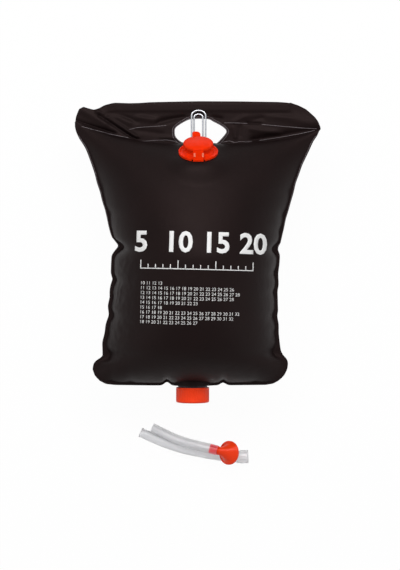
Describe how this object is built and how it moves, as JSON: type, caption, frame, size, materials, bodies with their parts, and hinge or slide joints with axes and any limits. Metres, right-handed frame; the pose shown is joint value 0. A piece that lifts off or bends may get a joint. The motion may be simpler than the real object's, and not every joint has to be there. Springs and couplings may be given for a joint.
{
  "type": "camp shower bag",
  "caption": "Filled camp shower bag lying on its back: welded film envelope with hand hole, wire hanging loop, flip filler cap, screw-capped outlet, and two loose hoses with a shower rose.",
  "frame": {"origin": "on the ground, under the middle of the bag's box with its caps on; the loose hoses and the rose don't count", "axes": "+X across the bag to its right as seen from the front, +Y from the outlet cap to the header, +Z out of the front film"},
  "size_m": [0.3964, 0.5902, 0.2314],
  "materials": {
    "black_pvc_film": "semi-gloss black PVC film",
    "white_plastic": "plain extruded strip",
    "red_plastic": "glossy moulded orange-red plastic",
    "rose_red_plastic": "glossy moulded red plastic",
    "black_plastic": "moulded black plastic",
    "rubber": "soft black ring",
    "steel_wire": "bright plated wire",
    "clear_pvc": "translucent grey soft PVC tube"
  },
  "bodies": {
    "bag": {"front_panel": "black_pvc_film", "back_panel": "black_pvc_film", "header_front": "black_pvc_film", "header_back": "black_pvc_film", "hole_patch_front": "black_pvc_film", "hole_patch_back": "black_pvc_film", "header_batten": "white_plastic", "filler_base": "red_plastic", "outlet_spout": "black_plastic", "outlet_nozzle": "black_plastic"},
    "lid": {"filler_cap": "red_plastic"},
    "seal": {"outlet_seal": "rubber"},
    "screw_cap": {"outlet_cap": "red_plastic"},
    "loop": {"hanging_loop": "steel_wire"},
    "loose_hose": {"plain_hose": "clear_pvc"},
    "shower_hose": {"rose_hose": "clear_pvc"},
    "rose": {"rose_body": "rose_red_plastic", "rose_face": "rose_red_plastic"}
  },
  "joints": [
    {"name": "lid_hinge", "type": "hinge", "parent": "bag", "child": "lid", "pos_m": [-0.0015, 0.15396, 0.19671], "axis": [1, 0, 0], "range_deg": [0, 120]},
    {"name": "cap_travel", "type": "slide", "parent": "bag", "child": "seal", "axis": [0, -1, 0], "range_m": [0, 0.0092]},
    {"name": "cap_turn", "type": "hinge", "parent": "seal", "child": "screw_cap", "pos_m": [-0.0106, -0.225, 0.11115], "axis": [0, -1, 0], "range_deg": [0, 720]},
    {"name": "loop_pull", "type": "slide", "parent": "bag", "child": "loop", "axis": [0, 1, 0], "range_m": [0, 0.0305]},
    {"name": "loose_hose_lift", "type": "slide", "parent": "bag", "child": "loose_hose", "axis": [0, 0, 1], "range_m": [0, 0.08]},
    {"name": "shower_hose_lift", "type": "slide", "parent": "loose_hose", "child": "shower_hose", "axis": [0, 0, 1], "range_m": [0, 0.08]},
    {"name": "rose_pull", "type": "slide", "parent": "shower_hose", "child": "rose", "axis": [0.9552, -0.209, 0.2096], "range_m": [0, 0.02]}
  ],
  "couplings": [
    {"joint": "cap_travel", "follows": "cap_turn", "m_per_rad": 0.0007162}
  ]
}
